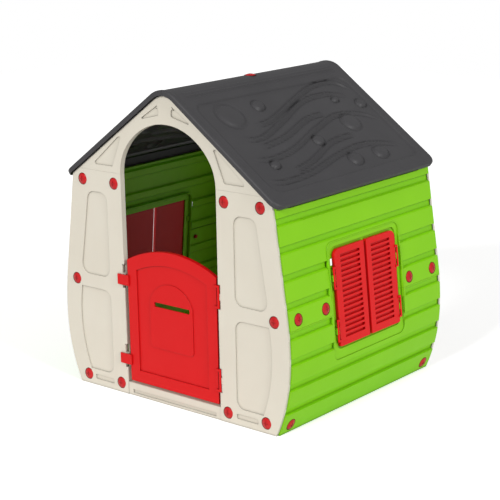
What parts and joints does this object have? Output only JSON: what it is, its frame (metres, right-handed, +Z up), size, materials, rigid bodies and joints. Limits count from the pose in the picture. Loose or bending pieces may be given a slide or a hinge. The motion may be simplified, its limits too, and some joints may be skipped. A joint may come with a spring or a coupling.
{
  "type": "plastic playhouse",
  "caption": "Small plastic garden playhouse with an open arch at each end, a hinged half door with a letter slot, louvred window shutters, plank walls and a pitched roof.",
  "frame": {"origin": "on the floor under the middle of the house, where its bounding box is centred", "axes": "+X to the right seen from the door, +Y from the door end to the back, +Z up"},
  "size_m": [1.03, 0.9, 1.0899],
  "materials": {
    "cream_plastic": "satin moulded plastic, cream",
    "green_plastic": "satin moulded plastic, bright green",
    "red_plastic": "smooth moulded plastic, bright red",
    "dark_grey_plastic": "satin moulded plastic, dark grey"
  },
  "bodies": {
    "house": {"front_right_column": "cream_plastic", "front_left_column": "cream_plastic", "back_left_column": "cream_plastic", "back_right_column": "cream_plastic", "front_gable": "cream_plastic", "back_gable": "cream_plastic", "front_sill": "cream_plastic", "back_sill": "cream_plastic", "right_wall_lower": "green_plastic", "right_wall_upper": "green_plastic", "right_wall_screws": "red_plastic", "left_wall_lower": "green_plastic", "left_wall_upper": "green_plastic", "left_wall_screws": "red_plastic", "front_screws": "red_plastic", "back_screws": "red_plastic", "right_roof_panel": "dark_grey_plastic", "left_roof_panel": "dark_grey_plastic", "ridge_screw": "red_plastic"},
    "door": {"door": "red_plastic"},
    "right_front_shutter": {"right_front_shutter": "red_plastic"},
    "right_back_shutter": {"right_back_shutter": "red_plastic"},
    "left_front_shutter": {"left_front_shutter": "red_plastic"},
    "left_back_shutter": {"left_back_shutter": "red_plastic"}
  },
  "joints": [
    {"name": "door_hinge", "type": "hinge", "parent": "house", "child": "door", "pos_m": [0.214, -0.438, 0], "axis": [0, 0, 1], "range_deg": [0, 110]},
    {"name": "right_front_shutter_hinge", "type": "hinge", "parent": "house", "child": "right_front_shutter", "pos_m": [0.49897, -0.181, 0.40072], "axis": [0.0905, 0, -0.9959], "range_deg": [0, 165]},
    {"name": "right_back_shutter_hinge", "type": "hinge", "parent": "house", "child": "right_back_shutter", "pos_m": [0.49897, 0.181, 0.40072], "axis": [-0.0905, 0, 0.9959], "range_deg": [0, 165]},
    {"name": "left_front_shutter_hinge", "type": "hinge", "parent": "house", "child": "left_front_shutter", "pos_m": [-0.49897, -0.181, 0.40072], "axis": [0.0905, 0, 0.9959], "range_deg": [0, 165]},
    {"name": "left_back_shutter_hinge", "type": "hinge", "parent": "house", "child": "left_back_shutter", "pos_m": [-0.49897, 0.181, 0.40072], "axis": [-0.0905, 0, -0.9959], "range_deg": [0, 165]}
  ]
}
